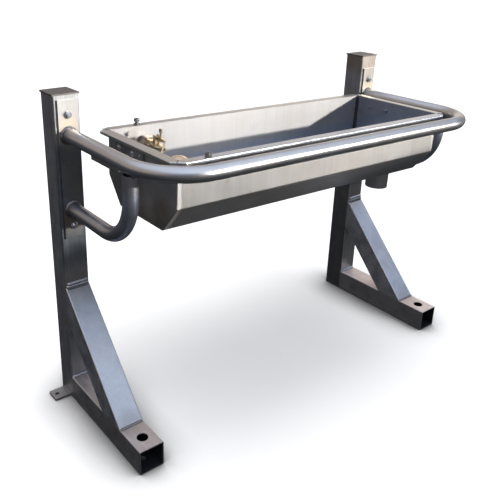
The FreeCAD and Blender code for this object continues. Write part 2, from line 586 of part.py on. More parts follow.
hb, hw, hn_, hs = [], [], [], []
for side, s in SIDES:
    face = D.half_len + T + D.bracket_t            # outer face of the bracket's inner leaf
    for tag, yy in (("a", D.brk_bolt_a), ("b", D.brk_bolt_b)):
        n = side + "_bk" + tag
        x = s * face
        w0 = rod(n + "_wd", 9.0, 1.6, (x.v, -yy.v, -22.0), (s, 0, 0)); set_base(w0, x, -yy, -D.brk_bolt_z)
        w1 = rod(n + "_wh", 4.3, 4.0, (x.v - s, -yy.v, -22.0), (s, 0, 0)); set_base(w1, x - s, -yy, -D.brk_bolt_z)
        hw.append(cut(n + "_washer", w0, w1))
        hd = doc.addObject("Part::Sphere", n + "_dome"); hd.Radius = 8.6; hd.Angle1 = 40.0; hd.Angle2 = 90.0
        xh = x + s * 1.6
        # a button head: a slice of a sphere turned to point outwards
        hd.Placement = FreeCAD.Placement(Vec(xh.v - s * 8.6 * math.sin(math.radians(40)), -yy.v, -22.0), FreeCAD.Rotation(Vec(0, 0, 1), Vec(s, 0, 0)))
        set_base(hd, xh - s * 8.6 * math.sin(math.radians(40)), -yy, -D.brk_bolt_z)
        sh = rod(n + "_shank", 4.0, 18.0, (xh.v + s * 1.0, -yy.v, -22.0), (-s, 0, 0)); set_base(sh, xh + s * 1.0, -yy, -D.brk_bolt_z)
        hb.append(fuse(n + "_bolt", [hd, sh]))
        xn = s * D.half_len
        n0 = hexagon(n + "_nuthex", 13.0, 6.5, (xn.v, -yy.v, -22.0), (-s, 0, 0)); set_base(n0, xn, -yy, -D.brk_bolt_z)
        n1 = rod(n + "_nuthole", 4.1, 9.0, (xn.v + s, -yy.v, -22.0), (-s, 0, 0)); set_base(n1, xn + s, -yy, -D.brk_bolt_z)
        hn_.append(cut(n + "_nut", n0, n1))
    x = s * face
    n = side + "_scr"
    s0 = rod(n + "_head", 4.6, 2.6, (x.v, -224.0, -18.0), (s, 0, 0)); set_base(s0, x)
    s1 = rod(n + "_shank", 2.5, 12.0, (x.v + s, -224.0, -18.0), (-s, 0, 0)); set_base(s1, x + s)
    hs.append(fuse(n + "_screw", [s0, s1]))
keep(group("bracket_bolts", hb), "bracket_bolts", SLOPE)
keep(group("bracket_washers", hw), "bracket_washers", SLOPE)
keep(group("bracket_nuts", hn_), "bracket_nuts", SLOPE)
keep(group("bracket_screws", hs), "bracket_screws", SLOPE)

# ---------------------------------------------------------------- rim studs
studs, snuts = [], []
for n, x, y, tall in (("front", -D.stud_front_x, -D.wall_front - D.flange / 2.0, D.stud_front_h), ("rear", -D.stud_rear_x, D.flange / 2.0 - D.wall_rear, D.stud_rear_h)):
    a = rod(n + "_stud_rod", 4.0, 32.0, (x.v, y.v, 0.0), (0, 0, 1)); bind(a, "Radius", D.stud_r); set_base(a, x, y)
    bind(a, "Height", tall + D.rim_top)
    studs.append(a)
    for tag, z, h in (("top", D.rim_top + tall - 9.5, 8.0), ("low", D.rim_top - T - 8.0, 8.0)):
        hx = hexagon(n + tag + "_hex", 17.0, h, (x.v, y.v, z.v), (0, 0, 1)); set_base(hx, x, y, z)
        ho = rod(n + tag + "_hole", 5.1, h + 2, (x.v, y.v, z.v - 1), (0, 0, 1)); set_base(ho, x, y, z - 1)
        snuts.append(cut(n + tag + "_nut", hx, ho))
    sp0 = rod(n + "_spacer_o", 9.5, 3.0, (x.v, y.v, 14.0), (0, 0, 1)); set_base(sp0, x, y, D.rim_top)
    sp1 = rod(n + "_spacer_i", 5.1, 5.0, (x.v, y.v, 13.0), (0, 0, 1)); set_base(sp1, x, y, D.rim_top - 1)
    snuts.append(cut(n + "_spacer", sp0, sp1))
keep(group("cover_studs", studs), "cover_studs", SLOPE)
keep(group("cover_nuts", snuts), "cover_nuts", SLOPE)

# ---------------------------------------------------------------- float valve
vx, vz = -D.valve_x, -D.valve_z
VX, VZ = vx.v, vz.v
PY, PZ = -D.pivot_y.v, (vz + D.pivot_up).v


def vrod(name, r, ya, yb, dx=0.0, dz=0.0):
    """A round bar on the valve's axis between two distances ahead of the post face."""
    c = rod(name, r, yb - ya, (VX + dx, -ya, VZ + dz), (0, -1, 0))
    set_base(c, vx + dx if dx else vx, None, vz + dz if dz else vz)
    return c


def vhex(name, af, ya, yb):
    c = hexagon(name, af, yb - ya, (VX, -ya, VZ), (0, -1, 0)); set_base(c, vx, None, vz)
    return c


def block(name, size, at, at_v=None):
    c = doc.addObject("Part::Box", name)
    c.Length, c.Width, c.Height = size
    c.Placement.Base = Vec(*at)
    return c


tail = vrod("valve_tail", 10.0, 6.0, 83.0)
collar = vhex("valve_collar", 27.0, 80.5, 98.0)
barrel = vrod("valve_barrel", 10.0, 88.0, 142.0)
nose = vrod("valve_nose", 7.5, 140.0, 154.0)
lugs = block("valve_lugs", (20.0, 12.0, 34.0), (VX - 10.0, PY - 6.0, VZ))
lugs.setExpression("Placement.Base.x", (vx - 10).e)
lugs.setExpression("Placement.Base.y", (-D.pivot_y - 6).e)
lugs.setExpression("Placement.Base.z", vz.e)
raw = fuse("valve_raw", [tail, collar, barrel, nose, lugs])
bore_in = vrod("valve_bore_in", 6.0, 5.0, 96.0)
bore_p = vrod("valve_bore_piston", 6.0, 95.0, 138.0)
outlet = vrod("valve_outlet", 3.5, 137.0, 156.0)
slot = block("valve_slot", (8.0, 26.0, 60.0), (VX - 4.0, PY - 13.0, VZ + 2.0))
slot.setExpression("Placement.Base.x", (vx - 4).e)
slot.setExpression("Placement.Base.y", (-D.pivot_y - 13).e)
slot.setExpression("Placement.Base.z", (vz + 2).e)
pinhole = rod("valve_pin_hole", 2.5, 30.0, (VX - 15.0, PY, PZ), (1, 0, 0))
set_base(pinhole, vx - 15, -D.pivot_y, vz + D.pivot_up)
groove = cut("valve_groove", vrod("groove_o", 11.0, 36.0, 38.0), vrod("groove_i", 9.2, 35.0, 39.0))
voids = fuse("valve_voids", [bore_in, bore_p, outlet, slot, pinhole, groove])
keep(cut("valve_body", raw, voids), "valve_body", SLOPE)

seal_o = vrod("seal_disc", 16.0, 49.0, 51.5)
seal_i = vrod("seal_hole", 10.2, 48.0, 53.0)
keep(cut("valve_seal", seal_o, seal_i), "valve_seal", SLOPE)

n_o = vhex("inner_nut_hex", 40.0, 59.0, 80.0)
n_f = vrod("inner_nut_barrel", 19.0, 51.5, 60.0)
n_i = vrod("inner_nut_hole", 10.1, 50.0, 82.0)
keep(cut("valve_nut", fuse("inner_nut_raw", [n_o, n_f]), n_i), "valve_nut", SLOPE)

b_o = vhex("back_nut_hex", 30.0, 39.0, 47.0)
b_i = vrod("back_nut_hole", 10.1, 38.0, 48.0)
keep(cut("valve_back_nut", b_o, b_i), "valve_back_nut", SLOPE)

lp = rod("lever_pin_rod", 2.45, 24.0, (VX - 12.0, PY, PZ), (1, 0, 0))
set_base(lp, vx - 12, -D.pivot_y, vz + D.pivot_up)
keep(group("lever_pin_set", [lp]), "lever_pin", SLOPE)

# piston with a rubber washer facing the outlet
p_r = vrod("piston_rod", 5.95, 100.0, 130.0)
p_s = block("piston_slot", (14.0, 8.0, 20.0), (VX - 7.0, PY - 4.0, VZ - 3.2))
p_s.setExpression("Placement.Base.x", (vx - 7).e)
p_s.setExpression("Placement.Base.y", (-D.pivot_y - 4.0).e)
p_s.setExpression("Placement.Base.z", (vz - 3.2).e)
keep(cut("valve_piston", p_r, p_s), "valve_piston", SLOPE)
keep(group("piston_washer_set", [vrod("piston_washer_disc", 5.8, 130.0, 133.8)]), "piston_washer", SLOPE)

# lever: flat arm between the lugs, with a round foot in the piston's slot
arm = block("lever_bar", (6.0, 46.0, 10.0), (VX - 3.0, PY - 40.0, PZ - 5.0))
arm.setExpression("Placement.Base.x", (vx - 3).e)
arm.setExpression("Placement.Base.y", (-D.pivot_y - 40).e)
arm.setExpression("Placement.Base.z", (vz + D.pivot_up - 5).e)
eye = rod("lever_eye", 6.5, 6.0, (VX - 3.0, PY, PZ), (1, 0, 0)); set_base(eye, vx - 3, -D.pivot_y, vz + D.pivot_up)
leg = block("lever_leg", (6.0, 4.0, 25.0), (VX - 3.0, PY - 2.0, PZ - 25.0))
leg.setExpression("Placement.Base.x", (vx - 3).e)
leg.setExpression("Placement.Base.y", (-D.pivot_y - 2.0).e)
leg.setExpression("Placement.Base.z", vz.e)
foot = rod("lever_foot", 3.0, 6.0, (VX - 3.0, PY, VZ), (1, 0, 0)); set_base(foot, vx - 3, -D.pivot_y, vz)
l_raw = fuse("lever_raw", [arm, eye, leg, foot])
l_hole = rod("lever_hole", 2.5, 10.0, (VX - 5.0, PY, PZ), (1, 0, 0)); set_base(l_hole, vx - 5, -D.pivot_y, vz + D.pivot_up)
l_rod = rod("lever_rod_hole", 2.6, 60.0, (VX, PY - 28.0, PZ), (0, -1, 0)); set_base(l_rod, vx, -D.pivot_y - 28, vz + D.pivot_up)
l_cut = fuse("lever_holes", [l_hole, l_rod])
keep(cut("float_lever", l_raw, l_cut), "float_lever", SLOPE)

# adjusting screw standing on the lever, with a flat thumb head
a_o = rod("adjuster_stem", 3.0, 17.0, (VX, PY - 22.0, PZ + 5.0), (0, 0, 1)); set_base(a_o, vx, -D.pivot_y - 22, vz + D.pivot_up + 5)
a_t = block("adjuster_thumb", (4.0, 14.0, 12.0), (VX - 2.0, PY - 29.0, PZ + 20.0))
a_t.setExpression("Placement.Base.x", (vx - 2).e)
a_t.setExpression("Placement.Base.y", (-D.pivot_y - 29).e)
a_t.setExpression("Placement.Base.z", (vz + D.pivot_up + 20).e)
a_n = hexagon("adjuster_locknut", 10.0, 4.0, (VX, PY - 22.0, PZ + 5.0), (0, 0, 1)); set_base(a_n, vx, -D.pivot_y - 22, vz + D.pivot_up + 5)
keep(fuse("lever_adjuster", [a_o, a_t, a_n]), "lever_adjuster", SLOPE)

# bent rod from the lever to the float
A0 = Vec(VX, PY - 30.0, PZ)
A = Vec(VX, PY - 46.0, PZ)              # first bend, just past the lever's end
A2 = Vec(-470.0, -196.0, -64.0)         # second bend, low and close to the end wall
B = Vec(-D.float_x.v, -D.float_y.v, -D.float_z.v)
down = A2 - A
dirn = B - A2; total = dirn.Length; unit = Vec(dirn).normalize()
reach = total - D.float_r.v - 3.4
r0 = rod("float_rod_a", 2.5, 16.0, (A0.x, A0.y, A0.z), (0, -1, 0)); set_base(r0, vx, -D.pivot_y - 30, vz + D.pivot_up)
r1 = rod("float_rod_b", 2.5, down.Length, (A.x, A.y, A.z), (down.x, down.y, down.z))
r2 = rod("float_rod_c", 2.5, reach, (A2.x, A2.y, A2.z), (unit.x, unit.y, unit.z))
e1 = doc.addObject("Part::Sphere", "float_rod_bend_a"); e1.Radius = 2.5; e1.Placement.Base = A
e2 = doc.addObject("Part::Sphere", "float_rod_bend_b"); e2.Radius = 2.5; e2.Placement.Base = A2
keep(fuse("float_rod", [r0, r1, r2, e1, e2]), "float_rod", SLOPE)

C0 = B - unit * (D.float_r.v + 3.2)
boss = rod("float_boss", 7.0, 8.0, (C0.x, C0.y, C0.z), (unit.x, unit.y, unit.z))
ball = doc.addObject("Part::Sphere", "float_sphere"); bind(ball, "Radius", D.float_r); ball.Placement.Base = B
seam = doc.addObject("Part::Torus", "float_seam"); bind(seam, "Radius1", D.float_r); seam.Radius2 = 0.8
seam.Placement = FreeCAD.Placement(B, FreeCAD.Rotation(Vec(0, 0, 1), Vec(0, 0, 1)))
inside = doc.addObject("Part::Sphere", "float_inside"); bind(inside, "Radius", D.float_r - 1.0); inside.Placement.Base = B
keep(cut("float_ball_hollow", fuse("float_skin", [ball, boss, seam]), inside), "float_ball", SLOPE)

N0 = C0 - unit * 8.0
nh = hexagon("rod_nut_hex", 10.0, 4.5, (N0.x + unit.x * 3, N0.y + unit.y * 3, N0.z + unit.z * 3), (unit.x, unit.y, unit.z))
nhh = rod("rod_nut_hole", 2.55, 12.0, (N0.x, N0.y, N0.z), (unit.x, unit.y, unit.z))
keep(cut("rod_nut", nh, nhh), "rod_nut", SLOPE)

# ---------------------------------------------------------------- lift-out drain plug
dx, dy = D.drain_x, -D.drain_y
FZ = -D.floor_z.v
cone = doc.addObject("Part::Cone", "bung_cone")
cone.Radius1, cone.Radius2, cone.Height = 34.6, 35.9, 16.0
cone.Placement.Base = Vec(dx.v, dy.v, FZ - 16.0); set_base(cone, dx, dy, -D.floor_z - 16)
brim = rod("bung_brim", 42.0, 5.0, (dx.v, dy.v, FZ), (0, 0, 1)); set_base(brim, dx, dy, -D.floor_z)
keep(fuse("drain_bung", [cone, brim]), "drain_bung", SLOPE)
pl = rod("plug_disc", 24.0, 3.0, (dx.v, dy.v, FZ + 5.0), (0, 0, 1)); set_base(pl, dx, dy, -D.floor_z + 5)
EZ = 13.0                               # height of the eye's hole above the trough floor
lug = block("plug_lug", (14.0, 3.0, EZ - 6.0), (dx.v - 7.0, dy.v - 1.5, FZ + 6.0)); set_base(lug, dx - 7.0, dy - 1.5, -D.floor_z + 6.0)
head = rod("plug_lug_head", 7.0, 3.0, (dx.v, dy.v - 1.5, FZ + EZ), (0, 1, 0)); set_base(head, dx, dy - 1.5, -D.floor_z + EZ)
eye = rod("plug_eye_hole", 3.6, 9.0, (dx.v, dy.v - 4.5, FZ + EZ), (0, 1, 0)); set_base(eye, dx, dy - 4.5, -D.floor_z + EZ)
keep(cut("plug_plate", fuse("plug_disc_and_lug", [pl, lug, head]), eye), "plug_plate", SLOPE)
pr = doc.addObject("Part::Torus", "pull_ring_wire"); pr.Radius1, pr.Radius2 = 16.0, 1.8
LIE = math.radians(9.0)                 # the ring lies on the disc's edge, a little below level
pr.Placement = FreeCAD.Placement(Vec(dx.v + 16.0 * math.cos(LIE), dy.v, FZ + EZ - 16.0 * math.sin(LIE)),
                                 FreeCAD.Rotation(Vec(0, 0, 1), Vec(math.sin(LIE), 0, math.cos(LIE))))
set_base(pr, dx + 16.0 * math.cos(LIE), dy, -D.floor_z + (EZ - 16.0 * math.sin(LIE)))
keep(group("pull_ring_set", [pr]), "pull_ring", SLOPE)

# ---------------------------------------------------------------- check and write
doc.recompute()
bad = []
for o in doc.Objects:
    if any(w in ("Invalid", "Error") for w in o.State):
        bad.append((o.Name, list(o.State)))
for label, o in NODES:
    if o.Shape.isNull() or not o.Shape.isValid() or not o.Shape.Solids:
        bad.append((label, "shape"))
if bad:
    raise RuntimeError("features that did not build: %s" % bad)
if len(set(n for n, _ in NODES)) != len(NODES):
    raise RuntimeError("two sub-parts share a name")
for label, o in NODES:
    o.Shape.exportStep("parts/%s.step" % label)
print("wrote", len(NODES), "sub-parts")
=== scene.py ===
# Looks for a stainless drinking and wash trough on floor stands. Metres, Z up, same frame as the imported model.
import math
import bpy
import bmesh
from mathutils import Vector, Matrix, Quaternion, noise


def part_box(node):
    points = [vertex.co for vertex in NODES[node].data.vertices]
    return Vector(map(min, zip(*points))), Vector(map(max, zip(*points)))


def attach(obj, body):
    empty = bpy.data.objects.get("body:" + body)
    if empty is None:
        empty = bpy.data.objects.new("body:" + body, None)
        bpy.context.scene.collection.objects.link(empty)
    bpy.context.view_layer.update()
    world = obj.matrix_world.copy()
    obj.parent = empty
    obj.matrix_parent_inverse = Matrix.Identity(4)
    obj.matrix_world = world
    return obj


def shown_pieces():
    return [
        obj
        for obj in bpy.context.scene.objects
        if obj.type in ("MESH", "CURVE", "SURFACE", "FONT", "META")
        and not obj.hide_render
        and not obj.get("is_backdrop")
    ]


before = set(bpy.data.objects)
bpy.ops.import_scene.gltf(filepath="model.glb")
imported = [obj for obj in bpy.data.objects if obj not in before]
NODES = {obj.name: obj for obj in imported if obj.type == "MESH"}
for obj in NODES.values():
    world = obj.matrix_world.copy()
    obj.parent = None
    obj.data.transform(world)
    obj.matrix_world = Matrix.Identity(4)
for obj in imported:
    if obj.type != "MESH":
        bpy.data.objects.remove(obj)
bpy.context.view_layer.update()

scene = bpy.context.scene
ROOT = "stand_and_trough"

# ------------------------------------------------------------------ material kit
def new_mat(name):
    m = bpy.data.materials.new(name)
    m.use_nodes = True
    nt = m.node_tree
    nt.nodes.clear()
    out = nt.nodes.new("ShaderNodeOutputMaterial")
    b = nt.nodes.new("ShaderNodeBsdfPrincipled")
    nt.links.new(b.outputs[0], out.inputs[0])
    return m, nt, b


class Kit:
    """Small helpers to string shader nodes together."""

    def __init__(self, nt):
        self.nt = nt
        self.tc = nt.nodes.new("ShaderNodeTexCoord")

    def put(self, socket, v):
        if isinstance(v, (int, float)):
            socket.default_value = v
        elif isinstance(v, (tuple, list)):
            socket.default_value = tuple(v) if len(v) == len(socket.default_value) else tuple(v) + (1.0,)
        else:
            self.nt.links.new(v, socket)

    def math(self, op, a, b=0.0, c=0.0, clamp=False):
        n = self.nt.nodes.new("ShaderNodeMath")
        n.operation = op
        n.use_clamp = clamp
        for s, v in zip(n.inputs, (a, b, c)):
            self.put(s, v)
        return n.outputs[0]

    def noise(self, scale, stretch=(1, 1, 1), detail=3.0, rough=0.5, offset=(0, 0, 0), distort=0.0, rot=(0, 0, 0)):
        mp = self.nt.nodes.new("ShaderNodeMapping")
        mp.inputs["Scale"].default_value = stretch
        mp.inputs["Location"].default_value = offset
        mp.inputs["Rotation"].default_value = rot
        self.nt.links.new(self.tc.outputs["Object"], mp.inputs["Vector"])
        n = self.nt.nodes.new("ShaderNodeTexNoise")
        n.inputs["Scale"].default_value = scale
        n.inputs["Detail"].default_value = detail
        n.inputs["Roughness"].default_value = rough
        n.inputs["Distortion"].default_value = distort
        self.nt.links.new(mp.outputs[0], n.inputs["Vector"])
        return n.outputs["Fac"]

    def ramp(self, v, lo, hi, to_lo=0.0, to_hi=1.0, smooth=False):
        n = self.nt.nodes.new("ShaderNodeMapRange")
        n.interpolation_type = "SMOOTHSTEP" if smooth else "LINEAR"
        for s, x in zip((n.inputs[0], n.inputs[1], n.inputs[2], n.inputs[3], n.inputs[4]), (v, lo, hi, to_lo, to_hi)):
            self.put(s, x)
        return n.outputs[0]

    def mix(self, f, a, b, mode="MIX"):
        n = self.nt.nodes.new("ShaderNodeMix")
        n.data_type = "RGBA"
        n.blend_type = mode
        self.put(n.inputs[0], f)
        self.put(n.inputs[6], a)
        self.put(n.inputs[7], b)
        return n.outputs[2]

    def axis(self, i):
        n = self.nt.nodes.new("ShaderNodeSeparateXYZ")
        self.nt.links.new(self.tc.outputs["Object"], n.inputs[0])
        return n.outputs[i]

    def near(self, centre, radius, squash=(1, 1, 1), ragged=0.0, rag_scale=60.0):
        """1 at the centre, falling to 0 at the radius."""
        mp = self.nt.nodes.new("ShaderNodeMapping")
        mp.inputs["Scale"].default_value = squash
        mp.inputs["Location"].default_value = [-c * s for c, s in zip(centre, squash)]
        self.nt.links.new(self.tc.outputs["Object"], mp.inputs["Vector"])
        ln = self.nt.nodes.new("ShaderNodeVectorMath")
        ln.operation = "LENGTH"
        self.nt.links.new(mp.outputs[0], ln.inputs[0])
        d = ln.outputs["Value"]
        if ragged:
            d = self.math("ADD", d, self.math("MULTIPLY", self.math("SUBTRACT", self.noise(rag_scale), 0.5), ragged))
        return self.ramp(d, radius, radius * 0.25, 0.0, 1.0, smooth=True)

    def bump(self, height, strength, distance=0.001, normal=None):
        n = self.nt.nodes.new("ShaderNodeBump")
        n.inputs["Strength"].default_value = strength
        n.inputs["Distance"].default_value = distance
        self.nt.links.new(height, n.inputs["Height"])
        if normal is not None:
            self.nt.links.new(normal, n.inputs["Normal"])
        return n.outputs[0]


def steel(name, base, rough, along=(0.03, 0.03, 1.0), grain=900.0, grain_amt=0.10, mott=22.0, mott_amt=0.10,
          cloud=5.0, cloud_amt=0.06, rough_amt=0.10, bump=0.06, stains_and_shade_marks=(), dark=(0.30, 0.29, 0.29), metallic=1.0,
          stain_rough=0.12, pits=0.0, streak=0.0, tube_shade_box=None, end_sheen_x=None, light_and_shade_boxes=()):
    """Bare steel: brushed grain along one direction, mottling, clouding, scratches and heat or rust staining, plus
    painted shade, painted sunlight, painted reflections and a painted highlight strip laid into the colour.
    along is how much the grain noise is squeezed on each axis, small across none: the grain runs on the axis with the
    smallest number."""
    m, nt, b = new_mat(name)
    k = Kit(nt)
    g = k.noise(grain, along, 4.0, 0.6)
    g2 = k.noise(grain * 0.25, along, 2.0, 0.5, offset=(3, 5, 7))
    mo = k.noise(mott, (1, 1, 1), 4.0, 0.55, offset=(11, 2, 4), distort=0.4)
    cl = k.noise(cloud, (1, 1, 1), 2.0, 0.5, offset=(1, 8, 3))
    # brightness
    v = k.math("ADD", k.math("MULTIPLY", k.math("SUBTRACT", g, 0.5), grain_amt), 1.0)
    v = k.math("ADD", v, k.math("MULTIPLY", k.math("SUBTRACT", g2, 0.5), grain_amt))
    v = k.math("ADD", v, k.math("MULTIPLY", k.math("SUBTRACT", mo, 0.5), mott_amt * 2))
    v = k.math("ADD", v, k.math("MULTIPLY", k.math("SUBTRACT", cl, 0.5), cloud_amt * 2))
    val = nt.nodes.new("ShaderNodeCombineXYZ")
    for s in val.inputs:
        nt.links.new(v, s)
    col = k.mix(1.0, tuple(base), val.outputs[0], "MULTIPLY")
    # cool and warm drift over the sheet
    tint = k.noise(cloud * 1.7, (1, 1, 1), 2.0, 0.5, offset=(5, 5, 1))
    col = k.mix(k.ramp(tint, 0.35, 0.7, 0.0, 0.35), col, k.mix(1.0, col, (0.90, 0.96, 1.06), "MULTIPLY"))
    r = k.math("ADD", rough, k.math("MULTIPLY", k.math("SUBTRACT", g2, 0.5), rough_amt))
    r = k.math("ADD", r, k.math("MULTIPLY", k.math("SUBTRACT", mo, 0.5), rough_amt * 1.4))
    # fine long scratches
    sc = k.noise(grain * 0.12, along, 6.0, 0.75, offset=(2, 9, 6))
    scratch = k.ramp(sc, 0.66, 0.72, 0.0, 1.0)
    col = k.mix(k.math("MULTIPLY", scratch, 0.25), col, k.mix(1.0, col, (1.35, 1.35, 1.35), "MULTIPLY"))
    if streak:
        st = k.noise(26.0, (1, 1, 0.06), 4.0, 0.6, offset=(7, 7, 7))
        col = k.mix(k.math("MULTIPLY", k.ramp(st, 0.5, 0.75), streak), col, dark)
    for limits, tone in light_and_shade_boxes:       # painted light and shade: the colour is lightened or darkened inside a soft-edged box of the sheet, standing in for cast shadow, sunlight and sky reflection
        f = None
        for ax, lo, hi, soft in limits:
            w = k.math("ADD", k.axis(ax), k.math("MULTIPLY", k.math("SUBTRACT", cl, 0.5), soft * 1.5))
            g_in = k.math("MULTIPLY", k.ramp(w, lo - soft, lo + soft, smooth=True), k.ramp(w, hi - soft, hi + soft, 1.0, 0.0, smooth=True))
            f = g_in if f is None else k.math("MULTIPLY", f, g_in)
        col = k.mix(f, col, k.mix(1.0, col, tone, "MULTIPLY"))
    # soft spots of colour: heat and rust staining, and also painted shade patches and a painted reflection streak on
    # the trough
    for centre, radius, colour, amount in stains_and_shade_marks:
        f = k.math("MULTIPLY", k.near(centre, radius, ragged=radius * 0.6, rag_scale=0.9 / radius), amount)
        fm = k.math("MULTIPLY", f, k.ramp(mo, 0.3, 0.6, 0.55, 1.0))
        col = k.mix(fm, col, colour)
        r = k.math("ADD", r, k.math("MULTIPLY", f, stain_rough))
    if pits:
        pt = k.noise(260.0, (1, 1, 1), 2.0, 0.6, offset=(4, 1, 9))
        pm = k.ramp(pt, 0.68, 0.74, 0.0, pits)
        col = k.mix(pm, col, dark)
    if end_sheen_x:                       # painted highlight: a lighter, slightly rougher flecked strip beside the end welds stands in for the reflection along the bend at each end
        wob = k.math("MULTIPLY", k.math("SUBTRACT", k.noise(45.0, (1, 1, 1), 2.0), 0.5), 0.006)
        e = k.ramp(k.math("ADD", k.math("ABSOLUTE", k.axis(0)), wob), end_sheen_x, end_sheen_x + 0.0015, 0.0, 1.0, smooth=True)
        fleck = k.noise(220.0, (1.0, 1.0, 0.25), 3.0, 0.6, offset=(6, 3, 3))
        col = k.mix(k.math("MULTIPLY", e, k.ramp(fleck, 0.25, 0.65, 0.35, 1.0)), col, (0.68, 0.66, 0.63))
        r = k.math("ADD", r, k.math("MULTIPLY", e, 0.12))
    if tube_shade_box:                       # painted shade: the inside of the square tube is coloured near black, mottled, as the shade within it
        cx, cz, half = tube_shade_box
        ax = k.math("ABSOLUTE", k.math("SUBTRACT", k.math("ABSOLUTE", k.axis(0)), cx))
        az = k.math("ABSOLUTE", k.math("SUBTRACT", k.axis(2), cz))
        in_tube_shade = k.math("MULTIPLY", k.math("LESS_THAN", ax, half), k.math("LESS_THAN", az, half))
        col = k.mix(in_tube_shade, col, k.mix(mo, (0.030, 0.034, 0.042), (0.055, 0.055, 0.060)))
        r = k.math("ADD", r, k.math("MULTIPLY", in_tube_shade, 0.3))
    nt.links.new(col, b.inputs["Base Color"])
    nt.links.new(k.math("MAXIMUM", k.math("MINIMUM", r, 0.95), 0.08), b.inputs["Roughness"])
    b.inputs["Metallic"].default_value = metallic
    h = k.math("ADD", k.math("MULTIPLY", g2, 0.6), k.math("MULTIPLY", mo, 1.0))
    nt.links.new(k.bump(h, bump, 0.0012), b.inputs["Normal"])
    return m


def rubber(name, base, rough=0.6):
    m, nt, b = new_mat(name)
    k = Kit(nt)
    mo = k.noise(180.0, (1, 1, 1), 4.0, 0.6)
    big = k.noise(35.0, (1, 1, 1), 2.0, 0.5, offset=(2, 2, 2))
    col = k.mix(k.ramp(big, 0.3, 0.7), base, tuple(c * 1.6 for c in base))
    nt.links.new(col, b.inputs["Base Color"])
    nt.links.new(k.ramp(mo, 0.2, 0.8, rough - 0.08, rough + 0.12), b.inputs["Roughness"])
    nt.links.new(k.bump(mo, 0.15, 0.0006), b.inputs["Normal"])
    return m


GRAIN_X = (0.012, 1.0, 1.0)
GRAIN_Y = (1.0, 0.012, 1.0)
GRAIN_Z = (1.0, 1.0, 0.012)
BROWN = (0.27, 0.19, 0.12)
STRAW = (0.62, 0.50, 0.33)
BLUE = (0.20, 0.22, 0.32)

RAIL_L, RAIL_R = 0.89054, 0.85786          # rail centre height at the posts
stand_stains = []
for s in (-1, 1):
    x = s * 0.6434
    stand_stains += [((x, 0.204, 0.415), 0.075, BROWN, 0.35), ((x, -0.106, 0.080), 0.06, BROWN, 0.30),
                     ((x, 0.204, 0.300), 0.07, BROWN, 0.25), ((x, 0.000, 0.080), 0.10, BLUE, 0.20)]
plate_stains = []
for s, zr in ((-1, RAIL_L), (1, RAIL_R)):
    x = s * 0.6434
    zs = 0.654 - s * 0.0119
    plate_stains += [((x, 0.198, zr + 0.012), 0.060, STRAW, 0.65), ((x, 0.198, zr), 0.040, BLUE, 0.7),
                     ((x, 0.198, zs - 0.030), 0.055, BROWN, 0.7), ((x, 0.198, zs), 0.040, BLUE, 0.6)]

